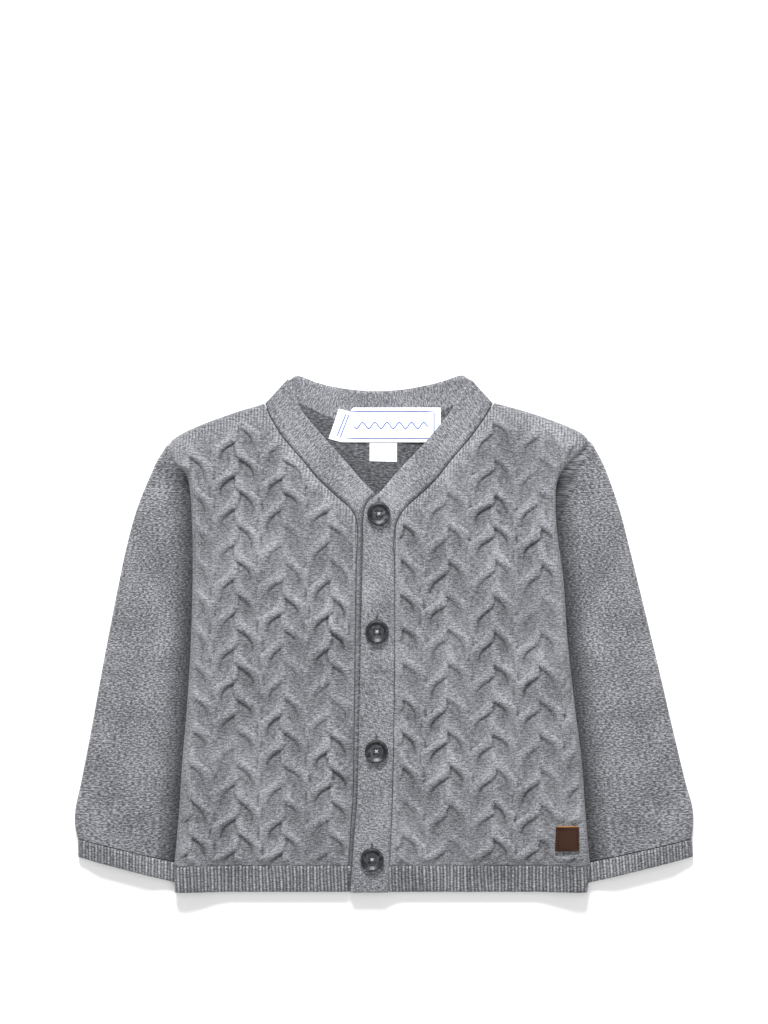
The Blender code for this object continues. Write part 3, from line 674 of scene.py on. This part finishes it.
def sleeve(name, rows, cuff, sign, finish, rib_finish):
    """A flattened tube: a ring of points round each section, with round folds, a flat underside
    and a fuller upper wall, plus its creases. The cuff is the same with ribs round it."""
    rows, cuff = np.asarray(rows), np.asarray(cuff)
    outer = curve(np.vstack((rows, cuff)), 4)[:, :2]
    grid, _, across, top = ring_grid(curve(rows, 18), outer, sign, 70)
    x, y = grid[..., 0], grid[..., 1]
    sides = np.array([(row.y, getattr(row, "left_x" if sign > 0 else "right_x")) for row in SIDES])
    beside = sign * (x - np.interp(y, sides[:, 0], sides[:, 1]))
    rise = 3.6 * smoothstep((y - 84.0) / 16.0) * smoothstep(1.0 - (beside - 2.0) / 16.0)
    relief = creases(grid[..., :2], SLEEVE_CREASES) + 0.35 * wander(x, y, 42.0, 8) + rise
    streak = 0.10 * wander(0.12 * x, y, 9.0, 9)
    grid[..., 2] += (relief + streak) * top
    # Painted shade on the sleeve beside the body's edge, which stands over it, fading out towards the
    # shoulder
    hollow = np.clip(1.2 - beside / 11.0, 0.0, 1.0) * smoothstep((96.0 - y) / 12.0)
    uv = np.stack((across, y), axis=-1)
    obj = shell(name + "_knit", grid, uv, hollow, SLEEVE_WALL, finish, ring=True)
    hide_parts(name)
    grid, along, across, top = ring_grid(at_rows(cuff, 16), outer, sign, 220)
    ribs = rib(across, CUFF_RIB_PITCH)
    ends = smoothstep(along / 0.15) * smoothstep((1.0 - along) / 0.1)
    centre = grid.mean(axis=1, keepdims=True)
    grid[..., 2] += (1.0 * ribs * (0.3 + 0.7 * ends) - 0.1 * (1.0 - ends)) * top
    grid[..., :2] += 0.004 * (1.0 - ends)[..., None] * (centre - grid)[..., :2]
    cuff_name = name.replace("sleeve", "cuff_rib")
    uv = np.stack((across, CUFF_LENGTH * along), axis=-1)
    # Painted shade in the furrows between the cuff's ribs
    cuff_obj = shell(cuff_name + "_knit", grid, uv, 0.9 * (1.0 - ribs), SLEEVE_WALL, rib_finish,
                     ring=True)
    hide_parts(cuff_name)


def at_rows(table, count):
    """Rows evenly spaced from the first of a table to its last."""
    share = np.linspace(0.0, 1.0, count)[:, None]
    return table[0] * (1 - share) + table[-1] * share


def ring_grid(rows, outer, sign, inner_count):
    """Sections of a flattened tube, from the outer fold over the top to the inner fold and back
    underneath. Also gives the share along, the distance across in mm, and 1 on top, 0 below."""
    fold = SLEEVE_HEIGHT / 2.0
    start, stop = rows[:, :2], rows[:, 2:]
    across = stop - start
    width = np.linalg.norm(across, axis=1)[:, None]
    angle = np.radians(np.linspace(-90.0, 90.0, 9))
    out = fold * (1.0 - np.cos(angle))[None]
    inner = fold + (width - 2.0 * fold) * np.linspace(0.0, 1.0, inner_count)[None, 1:-1]
    top_at = np.hstack((np.broadcast_to(out, (len(rows), 9)), inner, width - out[:, ::-1]))
    low_at = inner[:, ::-1]
    plan_top = start[:, None] + across[:, None] * (top_at / width)[..., None]
    plan_low = start[:, None] + across[:, None] * (low_at / width)[..., None]
    high = sleeve_height(plan_top.reshape(-1, 2), outer, sign).reshape(top_at.shape)
    ends = np.ones(top_at.shape[1])
    ends[:9] = (1.0 + np.sin(angle)) / 2.0
    ends[-9:] = ends[8::-1]
    upper = np.concatenate((plan_top, (high * ends)[..., None]), axis=2)
    lower = np.concatenate((plan_low, np.zeros(low_at.shape + (1,))), axis=2)
    grid = np.concatenate((upper, lower), axis=1)
    distance = np.hstack((top_at, 2.0 * width - low_at))
    along = np.broadcast_to(np.linspace(0.0, 1.0, len(rows))[:, None], distance.shape)
    top = np.broadcast_to(np.concatenate((smoothstep(ends), np.zeros(low_at.shape[1]))), distance.shape)
    return grid, along, distance, top


def band(name, rows, level, wall, finish, holes=(), folds=(), beneath=None):
    """A band: share s along, share t from the sewn to the free edge. Its section is rounded off
    over 1.7 mm at both edges. Each buttonhole is a slit with raised lips, both bell curves of the
    distance from its middle line. `beneath` is the edge of a band that shades this one."""
    sewn, free = fine(rows, 8)
    count = int(lengths_mm(sewn) / 0.75)
    sewn, free = at(sewn, np.linspace(0, 1, count)), at(free, np.linspace(0, 1, count))
    share = np.linspace(0.0, 1.0, 40)
    plan = sewn[:, None] * (1 - share)[None, :, None] + free[:, None] * share[None, :, None]
    height = level(plan.reshape(-1, 2)).reshape(plan.shape[:2]) + wall
    width = np.linalg.norm(free - sewn, axis=1)[:, None]
    to_sewn, to_free = share * width, (1 - share) * width
    run = np.linspace(0.0, lengths_mm(sewn), count)[:, None]
    depth = np.where(len(holes) > 0, 0.35 + 0.65 * smoothstep((plan[..., 1] - 20.0) / 25.0), 1.0)
    height += -1.0 * depth * (1.0 - smoothstep(to_sewn / 1.7)) - 0.9 * (1.0 - smoothstep(to_free / 1.7))
    height += 0.22 * wander(plan[..., 0], plan[..., 1], 24.0, 11)
    pleats = creases(plan, folds)
    height += pleats
    # Painted shade: along the sewn edge, in the troughs of the folds, under the edge of the band that
    # lies over this one, and in the buttonhole slits
    hollow = 0.9 * depth * (1.0 - smoothstep(to_sewn / 1.0))
    hollow = np.maximum(hollow, np.clip(-1.6 * pleats, 0.0, 0.8))
    if beneath is not None:
        points = plan.reshape(-1, 2)
        near = np.min([np.linalg.norm(points - spot, axis=1) for spot in beneath], axis=0)
        hollow = np.maximum(hollow, 1.1 * np.exp(-(near.reshape(height.shape) / 2.0) ** 2))
    for spot in holes:
        dx = plan[..., 0] - spot.x
        dy = np.abs(plan[..., 1] - spot.y - BUTTONHOLE_ABOVE)
        long = smoothstep((BUTTONHOLE_LENGTH / 2.0 + 0.6 - dy) / 1.0)
        lips = 0.45 * np.exp(-((np.abs(dx) - 1.3) / 0.6) ** 2)
        height += long * (lips - 1.6 * np.exp(-(dx / 0.5) ** 2))
        hollow = np.maximum(hollow, long * np.exp(-(dx / 0.6) ** 2))
    grid = np.concatenate((plan, height[..., None]), axis=2)
    uv = np.stack(np.broadcast_arrays(to_sewn, run), axis=-1)
    thin = THINNER if holes else THIN_BAND
    obj = shell(name + "_knit", grid, uv, hollow, thin * wall, finish)
    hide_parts(name)
    return obj, (np.median(width) * MM, lengths_mm((sewn + free) / 2.0) * MM)


def lengths_mm(line):
    """The length of a line of points."""
    return float(np.linalg.norm(np.diff(line, axis=0), axis=1).sum())


THREAD_SIDES = 6
TAPER = 0.35


def tube_path(name, paths, radius, finish):
    """Round threads along paths in millimetres: rings square to each path, tapered to its ends."""
    points, faces = [], []
    first = 0
    for path in paths:
        path = np.asarray(path, float)
        along = np.gradient(path, axis=0)
        along /= np.linalg.norm(along, axis=1)[:, None] + 1e-9
        side = np.cross(along, (0.0, 0.0, 1.0))
        side[np.linalg.norm(side, axis=1) < 0.1] = (1.0, 0.0, 0.0)
        side /= np.linalg.norm(side, axis=1)[:, None]
        up = np.cross(side, along)
        turn = np.linspace(0.0, 2 * np.pi, THREAD_SIDES, endpoint=False)
        ring = (side[:, None] * np.cos(turn)[None, :, None]
                + up[:, None] * np.sin(turn)[None, :, None])
        taper = np.ones(len(path))
        taper[0] = taper[-1] = TAPER
        points.append((path[:, None] + radius * taper[:, None, None] * ring).reshape(-1, 3))
        number = first + np.arange(len(path) * THREAD_SIDES).reshape(len(path), THREAD_SIDES)
        number = np.column_stack((number, number[:, 0]))
        corners = (number[:-1, :-1], number[1:, :-1], number[1:, 1:], number[:-1, 1:])
        quads = np.stack(corners, axis=-1)
        faces += quads.reshape(-1, 4).tolist()
        faces += [number[0, :-1].tolist(), number[-1, -2::-1].tolist()]
        first += len(path) * THREAD_SIDES
    mesh = bpy.data.meshes.new(name)
    mesh.from_pydata((np.vstack(points) * MM).tolist(), [], faces)
    mesh.shade_smooth()
    obj = bpy.data.objects.new(name, mesh)
    bpy.context.scene.collection.objects.link(obj)
    mesh.materials.append(finish)
    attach(obj, "root")
    return obj


# ---------------------------------------------------------------- materials

def colour(hex_code):
    """A colour written as sRGB hex, turned linear."""
    parts = np.array([int(hex_code[k:k + 2], 16) for k in (1, 3, 5)]) / 255.0
    linear = np.where(parts <= 0.04045, parts / 12.92, ((parts + 0.055) / 1.055) ** 2.4)
    return (*linear.tolist(), 1.0)


class Tree:
    """A material's nodes. A keyword i0, i1... of node() names an input by its number."""

    def __init__(self, name):
        self.made = bpy.data.materials.new(name)
        self.made.use_nodes = True
        self.tree = self.made.node_tree
        self.shader = self.tree.nodes["Principled BSDF"]

    def node(self, kind, settings=None, **inputs):
        """Adds a node with settings and inputs. An input is a value, or (node, output)."""
        made = self.tree.nodes.new(kind)
        for key, value in (settings or {}).items():
            setattr(made, key, value)
        for key, value in inputs.items():
            numbered = key[0] == "i" and key[1:].isdigit()
            self.feed(made.inputs[int(key[1:]) if numbered else key], value)
        return made

    def feed(self, socket, value):
        """Links (node, output) to a socket, or sets its value."""
        if isinstance(value, tuple) and len(value) == 2 and hasattr(value[0], "outputs"):
            self.tree.links.new(value[0].outputs[value[1]], socket)
        else:
            socket.default_value = value

    def math(self, operation, a, b=0.0):
        """The output of a Math node."""
        return (self.node("ShaderNodeMath", {"operation": operation}, i0=a, i1=b), 0)

    def ramp(self, factor, stops):
        """A colour ramp: the first two stops are its ends."""
        made = self.node("ShaderNodeValToRGB", i0=factor)
        for k, (place, code) in enumerate(stops):
            stop = made.color_ramp.elements[k] if k < 2 else made.color_ramp.elements.new(place)
            stop.position, stop.color = place, colour(code)
        return (made, 0)


# Fibres are drawn out along the rows, three times as long as they are wide
FIBRE_STRETCH = (0.35, 1.0, 1.0)
BUMP_HEIGHT = 0.0005


def wool(name, dark, middle, light, valley, stitch=1.6, row=1.35, bump=0.6, streaks=0.5,
         painted_shade_share=0.45, fineness=1.15, patches=0.18):
    """Grey melange wool, carded from dark and pale fibres, spun and knitted: matt and speckled,
    with a faint fluff. Sizes are in mm of knit. Stitches are V's,
    sin(2 pi (v / row + 0.6 |2 frac(u / stitch) - 1|)), and the fibres are noise, partly drawn
    out along the rows."""
    t = Tree(name)
    uv = t.node("ShaderNodeUVMap", {"uv_map": "knit"})
    parts = t.node("ShaderNodeSeparateXYZ", i0=(uv, 0))
    across = t.math("DIVIDE", (parts, 0), stitch)
    leg = t.math("ABSOLUTE", t.math("SUBTRACT", t.math("MULTIPLY", t.math("FRACT", across), 2.0), 1.0))
    turn = t.math("ADD", t.math("DIVIDE", (parts, 1), row), t.math("MULTIPLY", leg, 0.6))
    wave = t.math("SINE", t.math("MULTIPLY", turn, 2 * np.pi))
    off_middle = t.math("ABSOLUTE", t.math("SUBTRACT", leg, 0.5))
    wale = t.math("POWER", t.math("SUBTRACT", 1.0, off_middle), 2.0)
    stitches = t.math("ADD", t.math("MULTIPLY", wave, 0.28), wale)
    stretch = t.node("ShaderNodeMapping", i0=(uv, 0), Scale=FIBRE_STRETCH)
    fibre = t.node("ShaderNodeTexNoise", i0=(stretch, 0), Scale=fineness, Detail=2.0, Roughness=0.7)
    speck = t.node("ShaderNodeTexNoise", i0=(uv, 0), Scale=1.1 * fineness, Detail=2.0, Roughness=0.7)
    broad = t.node("ShaderNodeTexNoise", i0=(uv, 0), Scale=0.035, Detail=2.0, Roughness=0.5)
    drawn_out = t.math("MULTIPLY", (fibre, 0), streaks)
    mixed = t.math("ADD", drawn_out, t.math("MULTIPLY", (speck, 0), 1.0 - streaks))
    patchy = t.math("MULTIPLY", t.math("SUBTRACT", (broad, 0), 0.5), patches)
    mixed = t.math("ADD", mixed, patchy)
    # Painted light and shade of the stitches' relief: faint rows of V's, and light and dark upright
    # stripes where the cables end
    mixed = t.math("ADD", mixed, t.math("MULTIPLY", wave, 0.012))
    plain_part = t.node("ShaderNodeAttribute", {"attribute_name": "plain"})
    lines = t.math("SINE", t.math("MULTIPLY", (parts, 0), 2 * np.pi / WALE_PITCH))
    lines = t.math("MULTIPLY", lines, (plain_part, "Fac"))
    mixed = t.math("ADD", mixed, t.math("MULTIPLY", lines, 0.055))
    tone = t.ramp(mixed, ((0.40, dark), (0.62, light), (0.5, middle)))
    # Painted shade: the colour is darkened towards the valley tone where the shade mask is high, in
    # slits, furrows, creases, seams and along edges where shade falls
    hollow = t.node("ShaderNodeAttribute", {"attribute_name": "hollow"})
    mix = t.node("ShaderNodeMix", {"data_type": "RGBA", "blend_type": "MULTIPLY"},
                 i0=t.math("MULTIPLY", (hollow, "Fac"), painted_shade_share))
    t.feed(mix.inputs[6], tone)
    t.feed(mix.inputs[7], colour(valley))
    t.feed(t.shader.inputs["Base Color"], (mix, 2))
    fluff = t.node("ShaderNodeTexNoise", i0=(uv, 0), Scale=2.6, Detail=4.0, Roughness=0.8)
    height = t.math("ADD", t.math("MULTIPLY", stitches, 0.5), (fluff, 0))
    lumps = t.node("ShaderNodeBump", Strength=bump, Distance=BUMP_HEIGHT, Height=height)
    t.feed(t.shader.inputs["Normal"], (lumps, 0))
    t.shader.inputs["Roughness"].default_value = 0.95
    t.shader.inputs["Specular IOR Level"].default_value = 0.15
    t.shader.inputs["Sheen Weight"].default_value = 0.25
    t.shader.inputs["Sheen Roughness"].default_value = 0.6
    return t.made


def horn():
    """Polished imitation horn: charcoal with paler marbling, Object coordinates in metres."""
    t = Tree("dark marbled horn button")
    where = t.node("ShaderNodeTexCoord")
    swirl = t.node("ShaderNodeTexNoise", i0=(where, "Object"), Scale=190.0, Detail=4.0,
                   Roughness=0.6, Distortion=2.0)
    tone = t.ramp((swirl, 0), ((0.42, "#101114"), (0.70, "#5c5e65"), (0.56, "#26282d")))
    t.feed(t.shader.inputs["Base Color"], tone)
    t.shader.inputs["Roughness"].default_value = 0.42
    return t.made


def plain(name, code, roughness, bumps=0.0, scale=900.0):
    """One colour with little shine and, if asked for, a fine grain on Object coordinates."""
    t = Tree(name)
    t.shader.inputs["Base Color"].default_value = colour(code)
    t.shader.inputs["Roughness"].default_value = roughness
    t.shader.inputs["Specular IOR Level"].default_value = 0.2
    if bumps:
        where = t.node("ShaderNodeTexCoord")
        grain = t.node("ShaderNodeTexNoise", i0=(where, "Object"), Scale=scale, Detail=3.0)
        lumps = t.node("ShaderNodeBump", Strength=bumps, Distance=0.0002, Height=(grain, 0))
        t.feed(t.shader.inputs["Normal"], (lumps, 0))
    return t.made


def repaint(node, finish):
    """Gives a node of the frame another finish."""
    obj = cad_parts[node]
    obj.data.materials.clear()
    obj.data.materials.append(finish)


# ---------------------------------------------------------------- threads and small pieces

KNOT_REACH = 0.8
KNOT_RISE = 1.3
KNOT_RADIUS = 0.36
LINE_ABOVE = 0.05
LABEL_MIDDLE_Y = 118.8
LABEL_BORDER = (
    ((-19.8, 126.9), (28.6, 126.9)),
    ((-22.0, 111.5), (28.6, 111.5)),
    ((28.6, 111.5), (28.6, 126.9)),
    ((-27.0, 112.2), (-21.6, 125.6)),
    ((-25.2, 111.6), (-19.8, 125.4)),
)
LABEL_THREAD_RADIUS = 0.28
STITCH_CORNERS = ((98.9, -122.6), (109.9, -122.3), (109.8, -111.0), (99.2, -111.0))
STITCHES_A_SIDE = 6
STITCH_RADIUS = 0.25
EDGE_RADIUS = 0.4


def knots():
    """Thread across the middle of each button: two short arches, height sin(pi share), that
    cross between its holes."""
    share = np.linspace(0.0, 1.0, 9)
    reach = (2.0 * share - 1.0) * KNOT_REACH * BUTTON_HOLE_SPACING / 2.0
    height = BUTTON_LEVEL + BUTTON_THICKNESS / 2.0 + KNOT_RISE * np.sin(np.pi * share)
    paths = []
    for spot in BUTTONS:
        for turn in np.radians((45.0, 135.0)):
            plan = (spot.x + reach * np.cos(turn), spot.y + reach * np.sin(turn))
            paths.append(np.column_stack((*plan, height)))
    return paths


def straight(start, stop, level, points):
    """A straight path at one level."""
    plan = np.linspace(start, stop, points)
    return np.column_stack((plan, np.full(points, level)))


def label_lines():
    """The label's border, in the order of LABEL_BORDER, and a plain wavy line in its middle:
    y = LABEL_MIDDLE_Y + 1.7 sin(2 pi x / 7)."""
    level = LABEL_LEVEL + LABEL_WALL + LINE_ABOVE
    wave_x = np.linspace(-17.0, 25.0, 220)
    wave_y = LABEL_MIDDLE_Y + 1.7 * np.sin(2 * np.pi * wave_x / 7.0)
    wave = np.column_stack((wave_x, wave_y, np.full(len(wave_x), level)))
    return [straight(start, stop, level, 12) for start, stop in LABEL_BORDER] + [wave]


def patch_level(spot):
    """Height of the leather patch's upper face."""
    under = left_front_top(np.array([spot]))[0]
    return float(under) + PATCH_GAP + PATCH_WALL + LINE_ABOVE


def patch_stitches():
    """Short straight stitches along the four sides of the patch."""
    paths = []
    for k, corner in enumerate(STITCH_CORNERS):
        side = np.array((corner, STITCH_CORNERS[(k + 1) % len(STITCH_CORNERS)]))
        level = patch_level(side.mean(axis=0))
        for n in range(STITCHES_A_SIDE):
            shares = (np.array((0.15, 0.8)) + n) / STITCHES_A_SIDE
            start, stop = side[0] + (side[1] - side[0]) * shares[:, None]
            paths.append(straight(start, stop, level, 5))
    return paths


def patch_top_edge():
    """The patch's raw top edge."""
    left, right = PATCH[2], PATCH[3]
    level = patch_level((104.0, -110.0)) - 0.3
    return straight((left.x, left.y + 0.1), (right.x, right.y + 0.1), level, 12)


# ---------------------------------------------------------------- finishes

# Brushed cable knit: speckled mid grey, with painted shade in the slits between its strands, on the
# ground between them and at the rolled side
cable_wool = wool("brushed grey melange cable knit", "#4e4f53", "#7a7b80", "#a6a8ac", "#3a3b3f",
                  painted_shade_share=0.85)
# Jersey: the speckles run together into short streaks along its rows
jersey = dict(streaks=0.85, fineness=1.3, patches=0.14)
# The sleeves' jersey has painted shade along the body's edge; the back's outer face has none
jersey_wool = wool("grey melange jersey", "#3c3d41", "#696a6f", "#a0a2a6", "#48494d",
                   painted_shade_share=0.8, **jersey)
outside_wool = wool("grey melange jersey of the back", "#3c3d41", "#696a6f", "#a0a2a6", "#696a6f",
                    painted_shade_share=0.0, **jersey)
# The wrong side of the back lies in the neck's shade, so its colours are painted darker than the outer
# face's, a painted shade
shaded_inside_wool = wool("grey melange jersey, wrong side", "#37383c", "#595b5f", "#85878b", "#6a6c70",
                   streaks=0.8, painted_shade_share=0.5)
# Rib knit: pale ribs, with painted shade in the furrows between them
rib_wool = wool("grey melange rib knit", "#54565a", "#909296", "#cccdd1", "#232427", painted_shade_share=1.0)
# Band knit: smaller stitches, so smoother, with painted shade along its seams, in its folds and
# buttonholes and under the upper band's edge
band_wool = wool("fine grey melange band knit", "#424347", "#717277", "#a6a8ac", "#232427",
                 stitch=1.3, row=1.1, bump=0.45, painted_shade_share=0.7)
button_horn = horn()
# Woven satin, sewing threads and leather: one colour each, with a fine grain where it shows
label_satin = plain("white woven satin label", "#eef0f6", 0.6, 0.4)
brown_leather = plain("dark brown leather", "#341c10", 0.6, 0.5, 500.0)
leather_edge = plain("raw tan leather edge", "#9a6a3c", 0.8)
grey_thread = plain("grey sewing thread", "#b0b2b7", 0.8)
blue_thread = plain("blue label thread", "#3f5fa8", 0.7)
brown_thread = plain("dark brown stitching", "#20120c", 0.7)

# ---------------------------------------------------------------- the cardigan

right_rib = front_rib("hem_rib_front_right_knit", BUTTON_BAND, "right_x", front_top, -1, rib_wool)
left_rib = front_rib("hem_rib_front_left_knit", BUTTONHOLE_BAND, "left_x", left_front_top, 1,
                     rib_wool)
shading_edge = curve([Point(row.free_x, row.free_y) for row in BUTTONHOLE_BAND], 12)
lower_band, lower_size = band("band_button", BUTTON_BAND, lambda p: np.full(len(p), BAND_LEVEL),
                              BAND_WALL, band_wool, folds=LOWER_FOLDS, beneath=shading_edge)
upper_band, upper_size = band("band_buttonhole", BUTTONHOLE_BAND,
                              lambda p: BAND_LEVEL + band_lift(p), BAND_WALL, band_wool,
                              holes=BUTTONS, folds=UPPER_FOLDS)
neck, neck_size = band("band_neck", NECK_BAND, lambda p: np.zeros(len(p)), NECK_BAND_WALL, band_wool)
sleeve("sleeve_right", RIGHT_SLEEVE, RIGHT_CUFF, -1, jersey_wool, rib_wool)
sleeve("sleeve_left", LEFT_SLEEVE, LEFT_CUFF, 1, jersey_wool, rib_wool)
back(shaded_inside_wool, outside_wool)
back_rib(rib_wool)
front("front_right_knit", BUTTON_BAND, "right_x", RIGHT_SHOULDER, front_top, -1, RIGHT_CABLE,
      cable_wool)
front("front_left_knit", BUTTONHOLE_BAND, "left_x", LEFT_SHOULDER, left_front_top, 1, LEFT_CABLE,
      cable_wool)

for number in range(1, len(BUTTONS) + 1):
    repaint(f"button_{number}", button_horn)
repaint("neck_label", label_satin)
repaint("size_tab", label_satin)
repaint("leather_patch", brown_leather)

tube_path("button_threads", knots(), KNOT_RADIUS, grey_thread)
tube_path("label_border", label_lines(), LABEL_THREAD_RADIUS, blue_thread)
tube_path("patch_edge", [patch_top_edge()], EDGE_RADIUS, leather_edge)
tube_path("patch_stitching", patch_stitches(), STITCH_RADIUS, brown_thread)

# ---------------------------------------------------------------- floor, light and camera
# These are in metres and watts

Lamp = namedtuple("Lamp", "name place size power")

LAMPS = (
    Lamp("key", (-0.12, 1.42, 1.05), 0.5, 46.0),
    Lamp("fill", (0.7, -1.0, 1.6), 1.4, 5.0),
    Lamp("top", (0.0, 0.1, 2.2), 2.0, 16.0),
)
WORLD_LIGHT = 0.42
FLOOR_SIZE = 6.0
FLOOR_LEVEL = -0.0002
CAMERA_PLACE = (0.0, 0.0693, 1.6285)

bpy.ops.mesh.primitive_plane_add(size=FLOOR_SIZE, location=(0.0, 0.0, FLOOR_LEVEL))
floor = bpy.context.object
floor.name = "floor"
floor.data.materials.append(plain("white studio paper", "#ffffff", 0.9))

for row in LAMPS:
    data = bpy.data.lights.new(row.name, "AREA")
    data.shape = "DISK"
    data.size = row.size
    data.energy = row.power
    lamp = bpy.data.objects.new(row.name, data)
    bpy.context.scene.collection.objects.link(lamp)
    lamp.location = row.place
    lamp.rotation_mode = "QUATERNION"
    lamp.rotation_quaternion = (-Vector(row.place)).to_track_quat("-Z", "Y")

world = bpy.data.worlds.new("studio")
world.use_nodes = True
backdrop = world.node_tree.nodes["Background"]
backdrop.inputs["Color"].default_value = (1.0, 1.0, 1.0, 1.0)
backdrop.inputs["Strength"].default_value = WORLD_LIGHT
bpy.context.scene.world = world
bpy.context.scene.view_settings.view_transform = "Standard"

camera_data = bpy.data.cameras.new("camera")
camera_data.lens = 100.0
camera_data.sensor_width = 36.0
camera = bpy.data.objects.new("camera", camera_data)
camera.location = CAMERA_PLACE
bpy.context.scene.collection.objects.link(camera)
bpy.context.scene.camera = camera
